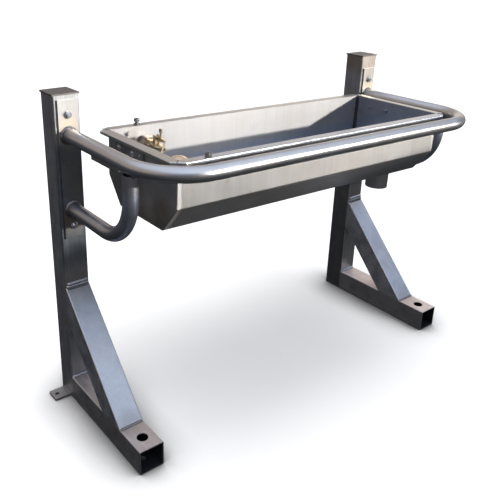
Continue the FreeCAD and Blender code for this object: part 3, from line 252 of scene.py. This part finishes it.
MATS = {
    # upright: painted shadow darkens the fronts below the rail blue-grey; painted shade, warm, dims the brightly lit
    # top of the right post; painted shade darkens the lower left face of the right post
    "stand_z": steel("tube_steel_upright", (0.48, 0.48, 0.485), 0.42, GRAIN_Z, grain_amt=0.55, mott_amt=0.20, cloud_amt=0.18, stains_and_shade_marks=stand_stains, bump=0.14, streak=0.32,
                     light_and_shade_boxes=[([(2, 0.48, 0.872, 0.03), (1, -0.1, 0.2100, 0.002)], (0.52, 0.56, 0.62)), ([(0, 0.5, 0.8, 0.01), (2, 0.95, 1.1, 0.02)], (0.86, 0.76, 0.66)),
                            ([(0, 0.55, 0.6042, 0.0003), (2, -0.1, 0.55, 0.06)], (0.42, 0.43, 0.45))]),
    # foot: a darker copy of the upright's tube steel, as painted shade; painted sunlight brightens the foot tops warm,
    # more on the right foot; the inside of the foot tube is painted near black as shade
    "stand_y": steel("tube_steel_foot", (0.37, 0.365, 0.37), 0.50, GRAIN_Y, grain_amt=0.36, mott_amt=0.28, cloud_amt=0.20, stains_and_shade_marks=stand_stains, bump=0.12, pits=0.25, tube_shade_box=(0.6434, 0.040, 0.0366),
                     light_and_shade_boxes=[([(2, 0.0790, 0.09, 0.0006)], (1.80, 1.62, 1.48)), ([(0, 0.5, 0.8, 0.01), (2, 0.0790, 0.09, 0.0006)], (1.30, 1.26, 1.22))]),
    # brace: a lighter, bluish copy of the upright's tube steel, as a painted sky reflection
    "stand_b": steel("tube_steel_brace", (0.58, 0.595, 0.62), 0.44, (0.5, 0.5, 0.5), grain=300.0, grain_amt=0.22, mott_amt=0.28, cloud_amt=0.22, rough_amt=0.22, stains_and_shade_marks=stand_stains, bump=0.20, pits=0.25),
    # plate: painted shadow darkens it blue-grey below the rail; painted shade, warm, dims the brightly lit top of the
    # right plate
    "plate": steel("plate_steel", (0.55, 0.54, 0.52), 0.42, GRAIN_Z, grain_amt=0.20, mott_amt=0.16, cloud_amt=0.12, stains_and_shade_marks=plate_stains, bump=0.10,
                   light_and_shade_boxes=[([(2, 0.50, 0.872, 0.02)], (0.50, 0.52, 0.56)), ([(0, 0.5, 0.8, 0.01), (2, 0.88, 1.1, 0.02)], (0.86, 0.82, 0.76))]),
    "cap": steel("cap_steel", (0.20, 0.185, 0.17), 0.50, GRAIN_X, grain_amt=0.12, mott_amt=0.16, bump=0.10),
    "tab": steel("tab_steel", (0.36, 0.34, 0.32), 0.5, GRAIN_X, grain_amt=0.12, mott_amt=0.20, bump=0.12, pits=0.4),
    "rail": steel("rail_pipe_steel", (0.58, 0.575, 0.58), 0.31, (1, 1, 1), grain=60.0, grain_amt=0.08, mott_amt=0.07, cloud_amt=0.06, bump=0.008, rough_amt=0.05,
                  stains_and_shade_marks=[((-0.6434, 0.185, RAIL_L), 0.05, BLUE, 0.35), ((0.6434, 0.185, RAIL_R), 0.05, BLUE, 0.35)]),
    # stay: painted sky reflection lightens the front rise of the stay blue
    "stay": steel("stay_pipe_steel", (0.42, 0.42, 0.435), 0.34, GRAIN_Z, grain_amt=0.16, mott_amt=0.14, bump=0.08,
                  light_and_shade_boxes=[([(1, -0.3, -0.10, 0.02), (2, 0.66, 0.9, 0.03)], (1.45, 1.55, 1.70))],
                  stains_and_shade_marks=[((-0.6434, 0.185, 0.666), 0.05, BLUE, 0.4), ((-0.6434, -0.136, 0.850), 0.05, BROWN, 0.5),
                          ((0.6434, 0.185, 0.642), 0.05, BLUE, 0.4), ((0.6434, -0.136, 0.818), 0.05, BROWN, 0.5)]),
    # trough sheet: the first three front-wall spots are a painted reflection streak, the last two are real staining;
    # painted shade darkens the lower rear wall and rear slope blue; painted light brightens the front wall; the end
    # strip is a painted highlight
    "sheet": steel("trough_sheet_steel", (0.60, 0.59, 0.575), 0.40, GRAIN_Z, grain_amt=0.14, mott_amt=0.05, cloud_amt=0.07, bump=0.03, streak=0.12, rough_amt=0.06, end_sheen_x=0.5275,
                   stains_and_shade_marks=[((-0.380, -0.191, 0.846), 0.012, (0.25, 0.21, 0.17), 0.7), ((-0.377, -0.191, 0.832), 0.016, (0.25, 0.21, 0.17), 0.6), ((-0.379, -0.191, 0.815), 0.012, (0.30, 0.26, 0.21), 0.5),
                           ((-0.505, -0.191, 0.812), 0.020, (0.36, 0.30, 0.23), 0.5), ((0.515, -0.191, 0.80), 0.020, (0.36, 0.30, 0.23), 0.4)],
                   light_and_shade_boxes=[([(1, 0.0, 0.3, 0.03), (2, 0.5, 0.780, 0.012)], (0.84, 0.92, 1.06)), ([(0, -0.2, 0.6, 0.10), (1, -0.3, -0.185, 0.001), (2, 0.74, 0.9, 0.01)], (1.22, 1.20, 1.18))]),
    # end wall: the two dark brown patches on the left end are painted shade; painted shade darkens the right end wall
    # blue
    "end": steel("end_wall_steel", (0.50, 0.49, 0.475), 0.36, GRAIN_Z, grain_amt=0.14, mott_amt=0.18, cloud_amt=0.16, bump=0.05,
                 stains_and_shade_marks=[((-0.530, -0.120, 0.730), 0.085, (0.15, 0.125, 0.09), 0.75), ((-0.530, 0.010, 0.690), 0.110, (0.17, 0.15, 0.12), 0.65)],
                 light_and_shade_boxes=[([(0, 0.3, 0.7, 0.05)], (0.66, 0.74, 0.92))]),
    # rim: painted sky reflection tints the front run blue
    "rim": steel("rim_steel", (0.62, 0.61, 0.595), 0.32, GRAIN_X, grain_amt=0.12, mott_amt=0.07, bump=0.04,
                 light_and_shade_boxes=[([(1, -0.3, -0.186, 0.002), (0, -0.50, 0.56, 0.01)], (1.02, 1.08, 1.20))]),
    "bracket": steel("bracket_steel", (0.38, 0.37, 0.36), 0.45, GRAIN_Y, grain_amt=0.12, mott_amt=0.16, bump=0.10),
    "socket": steel("socket_steel", (0.46, 0.46, 0.465), 0.36, GRAIN_X, grain_amt=0.12, mott_amt=0.10, bump=0.08),
    # zinc: painted shade darkens the bolts inside the right end blue
    "zinc": steel("zinc_plated_steel", (0.70, 0.70, 0.69), 0.26, (1, 1, 1), grain=300.0, grain_amt=0.08, mott=160.0, mott_amt=0.10, bump=0.05,
                  light_and_shade_boxes=[([(0, 0.50, 0.5369, 0.0004), (1, -0.1, 0.2, 0.01)], (0.46, 0.51, 0.62))]),
    "brass": steel("valve_brass_metal", (0.62, 0.50, 0.33), 0.32, (1, 1, 1), grain=400.0, grain_amt=0.08, mott=120.0, mott_amt=0.12, bump=0.08),
    "nickel": steel("valve_nut_metal_dark", (0.27, 0.215, 0.17), 0.36, (1, 1, 1), grain=300.0, grain_amt=0.10, mott=140.0, mott_amt=0.14, bump=0.08),
    "stud": steel("stud_steel", (0.26, 0.255, 0.25), 0.34, (1, 1, 1), grain=300.0, grain_amt=0.10, mott=140.0, mott_amt=0.14, bump=0.08),
    "adjuster": steel("adjuster_metal", (0.48, 0.40, 0.30), 0.42, (1, 1, 1), grain=400.0, grain_amt=0.08, mott=120.0, mott_amt=0.14, bump=0.08),
    "copper": steel("float_copper_metal", (0.78, 0.58, 0.40), 0.34, (1, 1, 1), grain=200.0, grain_amt=0.06, mott=60.0, mott_amt=0.12, bump=0.05),
    "seal": rubber("seal_rubber_black", (0.018, 0.018, 0.019)),
    "plug": rubber("plug_rubber_grey", (0.035, 0.036, 0.038)),
    "weld_dark": steel("weld_metal_scaled", (0.26, 0.24, 0.235), 0.36, (1, 1, 1), grain=300.0, grain_amt=0.15, mott=110.0, mott_amt=0.26, bump=0.15, dark=(0.08, 0.07, 0.07), pits=0.5),
    # corner seam: a real seam bead coloured near black as painted shadow in the trough's inner corners
    "seam": steel("seam_corner_shade", (0.055, 0.052, 0.055), 0.50, (1, 1, 1), grain=300.0, grain_amt=0.15, mott=110.0, mott_amt=0.26, bump=0.15, dark=(0.03, 0.03, 0.03), pits=0.5),
    "weld": steel("weld_metal", (0.50, 0.50, 0.51), 0.30, (1, 1, 1), grain=300.0, grain_amt=0.15, mott=110.0, mott_amt=0.22, bump=0.15, dark=(0.12, 0.11, 0.11), pits=0.4),
}

WEAR = {}
for side in ("left", "right"):
    WEAR.update({side + "_post": "stand_z", side + "_foot": "stand_y", side + "_brace": "stand_b", side + "_post_cap": "cap",
                 side + "_anchor_tab": "tab", side + "_mounting_plate": "plate", side + "_stay_tube": "stay",
                 side + "_end_wall": "end", side + "_trough_bracket": "bracket"})
WEAR.update(dict(plate_bolts="zinc", plate_washers="zinc", plate_nuts="zinc", guard_rail="rail", trough_shell="sheet", trough_rim="rim",
                 drain_socket="socket", bracket_bolts="zinc", bracket_washers="zinc", bracket_nuts="zinc", bracket_screws="zinc",
                 cover_studs="stud", cover_nuts="stud", valve_body="brass", valve_seal="seal", valve_nut="nickel", valve_back_nut="brass",
                 lever_pin="zinc", valve_piston="brass", piston_washer="seal", float_lever="brass", lever_adjuster="adjuster",
                 float_rod="brass", float_ball="copper", rod_nut="brass", drain_bung="plug", plug_plate="zinc", pull_ring="zinc"))
for n, o in NODES.items():
    o.data.materials.clear()
    o.data.materials.append(MATS[WEAR[n]])

for n in ("left_post_cap", "right_post_cap"):
    bv = NODES[n].modifiers.new("edge", "BEVEL")
    bv.width, bv.segments, bv.limit_method = 0.0008, 3, "ANGLE"

# ------------------------------------------------------------------ weld beads
TILT = math.radians(1.455)


def tilted(x, y, z):
    """A point in the trough's own tilted frame (mm), in the row frame (m)."""
    c, s = math.cos(TILT), math.sin(TILT)
    return Vector((c * x + s * z, y + 204.0, -s * x + c * z + 874.2)) / 1000.0


def turned(v):
    c, s = math.cos(TILT), math.sin(TILT)
    return Vector((c * v[0] + s * v[2], v[1], -s * v[0] + c * v[2]))


def link(o):
    scene.collection.objects.link(o)
    return o


def sections(path, closed):
    """Spreads points every 0.8 mm or so along a path of (point, a, b)."""
    out = []
    n = len(path)
    for i in range(n if closed else n - 1):
        p0, p1 = path[i], path[(i + 1) % n]
        m = max(1, int(round((p1[0] - p0[0]).length / 0.0008)))
        for j in range(m):
            t = j / m
            out.append(tuple(p0[q].lerp(p1[q], t) for q in range(3)))
    if not closed:
        out.append(path[-1])
    return out


def bead(name, paths, w, pitch=0.0034, ripple=0.10, lumpy=0.12, flat=1.0, seed=0.0, look="weld"):
    """Closed weld beads. Each path is (closed, [(corner point, direction along one face, direction along the other)]).
    The section is a sector round the corner, rippled in crescents along the run."""
    bm = bmesh.new()
    K = 9
    for pi, (closed, path) in enumerate(paths):
        secs = sections(path, closed)
        rings, run = [], 0.0
        for i, (p, a, b) in enumerate(secs):
            if i:
                run += (p - secs[i - 1][0]).length
            a, b = a.normalized(), b.normalized()
            end = 1.0
            if not closed:
                left = (len(secs) - 1 - i) * 0.0008
                end = min(1.0, 0.35 + 0.65 * math.sqrt(min(1.0, min(run, left) / (w * 0.9))))
            wob = 1.0 + lumpy * noise.noise(Vector((run * 130.0, pi * 7.1 + seed, 0.3)))
            ring = [bm.verts.new(p - (a + b) * 0.0002)]
            for q in range(K):
                t = q / (K - 1)
                d = a.slerp(b, t)
                bow = math.sin(math.pi * t)
                rip = ripple * math.sin(2 * math.pi * (run + 0.45 * w * bow) / pitch) * (0.35 + 0.65 * bow)
                fine = 0.05 * noise.noise(Vector((run * 600.0, t * 5.0, seed + pi)))
                ring.append(bm.verts.new(p + d * (w * end * wob * (1.0 + rip + fine) * (1.0 - 0.16 * flat * bow))))
            rings.append(ring)
        n = len(rings)
        m = K + 1
        for i in range(n if closed else n - 1):
            r0, r1 = rings[i], rings[(i + 1) % n]
            for q in range(m):
                bm.faces.new((r0[q], r0[(q + 1) % m], r1[(q + 1) % m], r1[q]))
        if not closed:
            bm.faces.new(list(reversed(rings[0])))
            bm.faces.new(rings[-1])
    bmesh.ops.recalc_face_normals(bm, faces=bm.faces)
    me = bpy.data.meshes.new(name)
    bm.to_mesh(me)
    bm.free()
    for f in me.polygons:
        f.use_smooth = True
    me.materials.append(MATS[look])
    o = link(bpy.data.objects.new(name, me))
    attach(o, ROOT)
    return o


def circle(c, u, v, r, out, n=48):
    """A path round a pipe: u and v span the face, out runs along the pipe."""
    res = []
    for i in range(n):
        d = u * math.cos(2 * math.pi * i / n) + v * math.sin(2 * math.pi * i / n)
        res.append((c + d * r, d, out))
    return (True, res)


def line(p, q, a, b):
    return (False, [(Vector(p), Vector(a), Vector(b)), (Vector(q), Vector(a), Vector(b))])


VX, VY, VZ = Vector((1, 0, 0)), Vector((0, 1, 0)), Vector((0, 0, 1))
OUTER = Vector((0, -0.6846, -0.7289))          # down along the brace's outer face
for side, s in (("left", -1), ("right", 1)):
    lo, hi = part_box(side + "_stay_tube")
    x0 = (lo.x + hi.x) / 2
    rs = (hi.x - lo.x) / 2
    zs = lo.z + rs
    zr = RAIL_L if s < 0 else RAIL_R
    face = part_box(side + "_mounting_plate")[0].y
    bead(side + "_rail_weld", [circle(Vector((x0, face, zr)), VX, VZ, 0.0212, -VY)], 0.0062, seed=1.0 + s, look="weld_dark")
    bead(side + "_stay_weld", [circle(Vector((x0, face, zs)), VX, VZ, rs, -VY)], 0.0060, seed=4.0 + s, look="weld_dark")
    h = 0.0375
    zt, yf = 0.410, 0.204
    bead(side + "_brace_head_weld", [line((x0 - h, yf, zt), (x0 + h, yf, zt), VZ, OUTER)], 0.0100, pitch=0.0046, ripple=0.14, seed=7.0 + s)
    bead(side + "_brace_head_second_weld", [line((x0 - h + 0.003, yf, zt + 0.0085), (x0 + h - 0.001, yf, zt + 0.0095), VZ, Vector((0, -0.5, -0.86)))], 0.0075, pitch=0.0044, ripple=0.14, seed=9.0 + s)
    ytoe = -0.106
    bead(side + "_brace_toe_weld", [line((x0 - h, ytoe, 0.080), (x0 + h, ytoe, 0.080), -VY, -OUTER)], 0.0048, seed=12.0 + s, look="weld_dark")
    bead(side + "_brace_inside_weld", [line((x0 - h, yf, 0.29316), (x0 + h, yf, 0.29316), -VZ, OUTER),
                                       line((x0 - h, 0.00377, 0.080), (x0 + h, 0.00377, 0.080), VY, -OUTER)], 0.0058, seed=15.0 + s)
    bead(side + "_foot_weld", [line((x0 - h, yf, 0.080), (x0 + h, yf, 0.080), VZ, -VY)], 0.0060, seed=18.0 + s)
    seams = []
    for e in (-1, 1):
        xe = x0 + e * 0.0368
        seams.append(line((xe, yf + 0.0008, 0.296), (xe, yf + 0.0008, 0.407), Vector((e, 0.8, 0)), Vector((e, -0.8, 0))))
        seams.append(line((xe, yf + 0.0008, 0.003), (xe, yf + 0.0008, 0.077), Vector((e, 0.8, 0)), Vector((e, -0.8, 0))))
        seams.append(line((xe, ytoe + 0.003, 0.0792), (xe, 0.001, 0.0792), Vector((e, 0, 0.8)), Vector((e, 0, -0.8))))
    bead(side + "_side_seams", seams, 0.0036, pitch=0.0028, ripple=0.05, lumpy=0.08, seed=21.0 + s)
    xt = s * (0.6434 + 0.040)
    bead(side + "_tab_weld", [line((xt, 0.223, 0.006), (xt, 0.269, 0.006), Vector((s, 0, 0)), VZ)], 0.0045, seed=24.0 + s, look="weld_dark")
    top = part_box(side + "_stay_tube")[1].z
    tack = [line((x0 - 0.008, -0.136 + e * 0.0195, top + 0.0002), (x0 + 0.008, -0.136 + e * 0.0195, top + 0.0002), Vector((0, e, 0.9)), Vector((0, e * 0.75, -1.0))) for e in (-1, 1)]
    bead(side + "_stay_tacks", tack, 0.0046, seed=27.0 + s, look="weld_dark")
ux, uz = turned(VX), turned(VZ)
bead("socket_weld", [circle(tilted(490.0, -222.0, -199.0), ux, VY, 0.040, -uz, 72)], 0.0042, seed=31.0, look="weld_dark")
# seam beads up the trough's inner corners, coloured near black as painted corner shadow
inner = []
for sx in (-1, 1):
    for y, sy in ((-49.0, -1), (-395.0, 1)):
        inner.append(line(tilted(sx * 536.8, y + sy * 0.2, 9.0), tilted(sx * 536.8, y + sy * 0.2, -117.0), turned(VX * -sx), VY * sy))
bead("corner_seams", inner, 0.0072, pitch=0.0030, ripple=0.08, flat=1.3, seed=33.0, look="seam")
mitres = []
for sx in (-1, 1):
    for sy, y0, y1 in ((-1, -395.0, -412.0), (1, -49.0, -33.0)):
        mitres.append(line(tilted(sx * 538.0, y0 + sy * 1.0, 14.0), tilted(sx * 553.0, y1, 14.0), Vector((0.7 * sy * sx, -0.7, 0.25)), Vector((-0.7 * sy * sx, 0.7, 0.25))))
bead("rim_corner_welds", mitres, 0.0016, pitch=0.0022, ripple=0.05, flat=0.0, seed=35.0, look="weld_dark")

# ------------------------------------------------------------------ floor, light, camera
me = bpy.data.meshes.new("floor")
bm = bmesh.new()
bmesh.ops.create_grid(bm, x_segments=8, y_segments=8, size=60.0)
bm.to_mesh(me); bm.free()
floor = link(bpy.data.objects.new("floor", me))
m, nt, b = new_mat("studio_floor")
k = Kit(nt)
b.inputs["Roughness"].default_value = 0.9
b.inputs["Specular IOR Level"].default_value = 0.0
ao = nt.nodes.new("ShaderNodeAmbientOcclusion")          # deepens the contact shadow round the feet
ao.samples = 12
ao.inputs["Distance"].default_value = 0.14
pale = k.mix(k.noise(0.8), (0.50, 0.494, 0.485), (0.51, 0.504, 0.495))
nt.links.new(k.mix(k.ramp(ao.outputs["AO"], 0.40, 0.98, 0.98, 0.0), pale, (0.03, 0.03, 0.03)), b.inputs["Base Color"])
me.materials.append(m)
floor.location.z = -0.0005
floor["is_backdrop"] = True
floor.visible_glossy = False
floor.visible_diffuse = False

world = bpy.data.worlds.new("studio")
scene.world = world
world.use_nodes = True
nt = world.node_tree
nt.nodes.clear()
out = nt.nodes.new("ShaderNodeOutputWorld")
bg = nt.nodes.new("ShaderNodeBackground")
nt.links.new(bg.outputs[0], out.inputs[0])
k = Kit(nt)
sep = nt.nodes.new("ShaderNodeSeparateXYZ")
nt.links.new(k.tc.outputs["Generated"], sep.inputs[0])
X, Y, Z = sep.outputs
# up: cool and bright overhead, dimmer near the horizon; behind: warm and dull; below: dark
front = k.ramp(k.math("ADD", k.math("MULTIPLY", Y, -0.8), k.math("MULTIPLY", X, 0.35)), -0.3, 0.7, 0.0, 1.0, smooth=True)
sky_f = k.mix(k.ramp(Z, 0.30, 0.70, smooth=True), (0.14, 0.165, 0.22), (1.00, 1.12, 1.36))
sky_b = k.mix(k.ramp(Z, 0.45, 0.90, smooth=True), (0.46, 0.40, 0.36), (0.85, 0.92, 1.08))
up = k.mix(front, sky_b, sky_f)
# a pale glow low behind on the right
glow = k.ramp(k.math("ADD", k.math("MULTIPLY", X, 0.80), k.math("MULTIPLY", Y, 0.58)), 0.86, 0.99, 0.0, 1.0, smooth=True)
glow = k.math("MULTIPLY", glow, k.ramp(Z, 0.45, 0.15, 0.0, 1.0, smooth=True))
up = k.mix(glow, up, (1.25, 1.15, 1.02))
low_f = k.mix(k.ramp(Z, -0.85, -0.15, smooth=True), (0.036, 0.040, 0.046), (0.125, 0.122, 0.120))
low_b = k.mix(k.ramp(Z, -0.75, -0.05, smooth=True), (0.028, 0.030, 0.034), (0.060, 0.067, 0.080))
down = k.mix(front, low_b, low_f)
env = k.mix(k.ramp(Z, -0.06, 0.10, smooth=True), down, up)
lp = nt.nodes.new("ShaderNodeLightPath")
nt.links.new(k.mix(lp.outputs["Is Camera Ray"], env, (0.93, 0.93, 0.93)), bg.inputs[0])

floor_only = bpy.data.collections.new("lit_floor")
floor_only.objects.link(floor)
piece_only = bpy.data.collections.new("lit_pieces")


def sun(name, direction, energy, angle, colour, receivers):
    l = bpy.data.lights.new(name, "SUN")
    l.energy, l.angle, l.color = energy, angle, colour
    o = link(bpy.data.objects.new(name, l))
    o.rotation_mode = "QUATERNION"
    o.rotation_quaternion = Vector(direction).to_track_quat("-Z", "Y")
    if receivers is not None:
        o.light_linking.receiver_collection = receivers
    return o


def area(name, at, towards, size_x, size_y, energy, colour, receivers, spread=math.pi):
    l = bpy.data.lights.new(name, "AREA")
    l.shape = "RECTANGLE"
    l.size, l.size_y, l.energy, l.color, l.spread = size_x, size_y, energy, colour, spread
    o = link(bpy.data.objects.new(name, l))
    o.location = at
    o.rotation_mode = "QUATERNION"
    o.rotation_quaternion = (Vector(towards) - Vector(at)).to_track_quat("-Z", "Y")
    if receivers is not None:
        o.light_linking.receiver_collection = receivers
    return o


sun("floor_light", (0.05, 0.1, -1.0), 5.6, math.radians(62), (1, 1, 1), floor_only)
# warm key from the front right, low, gridded so that it stays on the trough and the tops of the posts
KEY = Vector((0.58, -0.79, 0.19)).normalized()
mid = Vector((0.0, 0.05, 0.985))
area("key_light", mid + KEY * 3.4, mid, 3.2, 0.66, 9.0, (1.0, 0.955, 0.90), piece_only, spread=math.radians(2))

cam = bpy.data.cameras.new("camera")
co = link(bpy.data.objects.new("camera", cam))
yaw, pitch, roll, f = math.radians(36.909), math.radians(21.351), math.radians(0.826), 649.46
cy, sy, cp, sp = math.cos(yaw), math.sin(yaw), math.cos(pitch), math.sin(pitch)
fwd = Vector((sy * cp, cy * cp, -sp))
right = Vector((cy, -sy, 0.0))
upv = right.cross(fwd)
r2 = right * math.cos(roll) + upv * math.sin(roll)
u2 = upv * math.cos(roll) - right * math.sin(roll)
rot = Matrix((r2, u2, -fwd)).transposed()
co.matrix_world = Matrix.Translation((-1.4130, -1.6537 + 0.204, 1.3958)) @ rot.to_4x4()
cam.sensor_width = 36.0
cam.sensor_fit = "HORIZONTAL"
cam.lens = f / 500.0 * 36.0
cam.shift_x, cam.shift_y = 0.10, -0.10
cam.clip_start, cam.clip_end = 0.05, 200.0
scene.camera = co
scene.view_settings.view_transform = "Standard"
scene.view_settings.look = "None"

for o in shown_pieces():
    piece_only.objects.link(o)
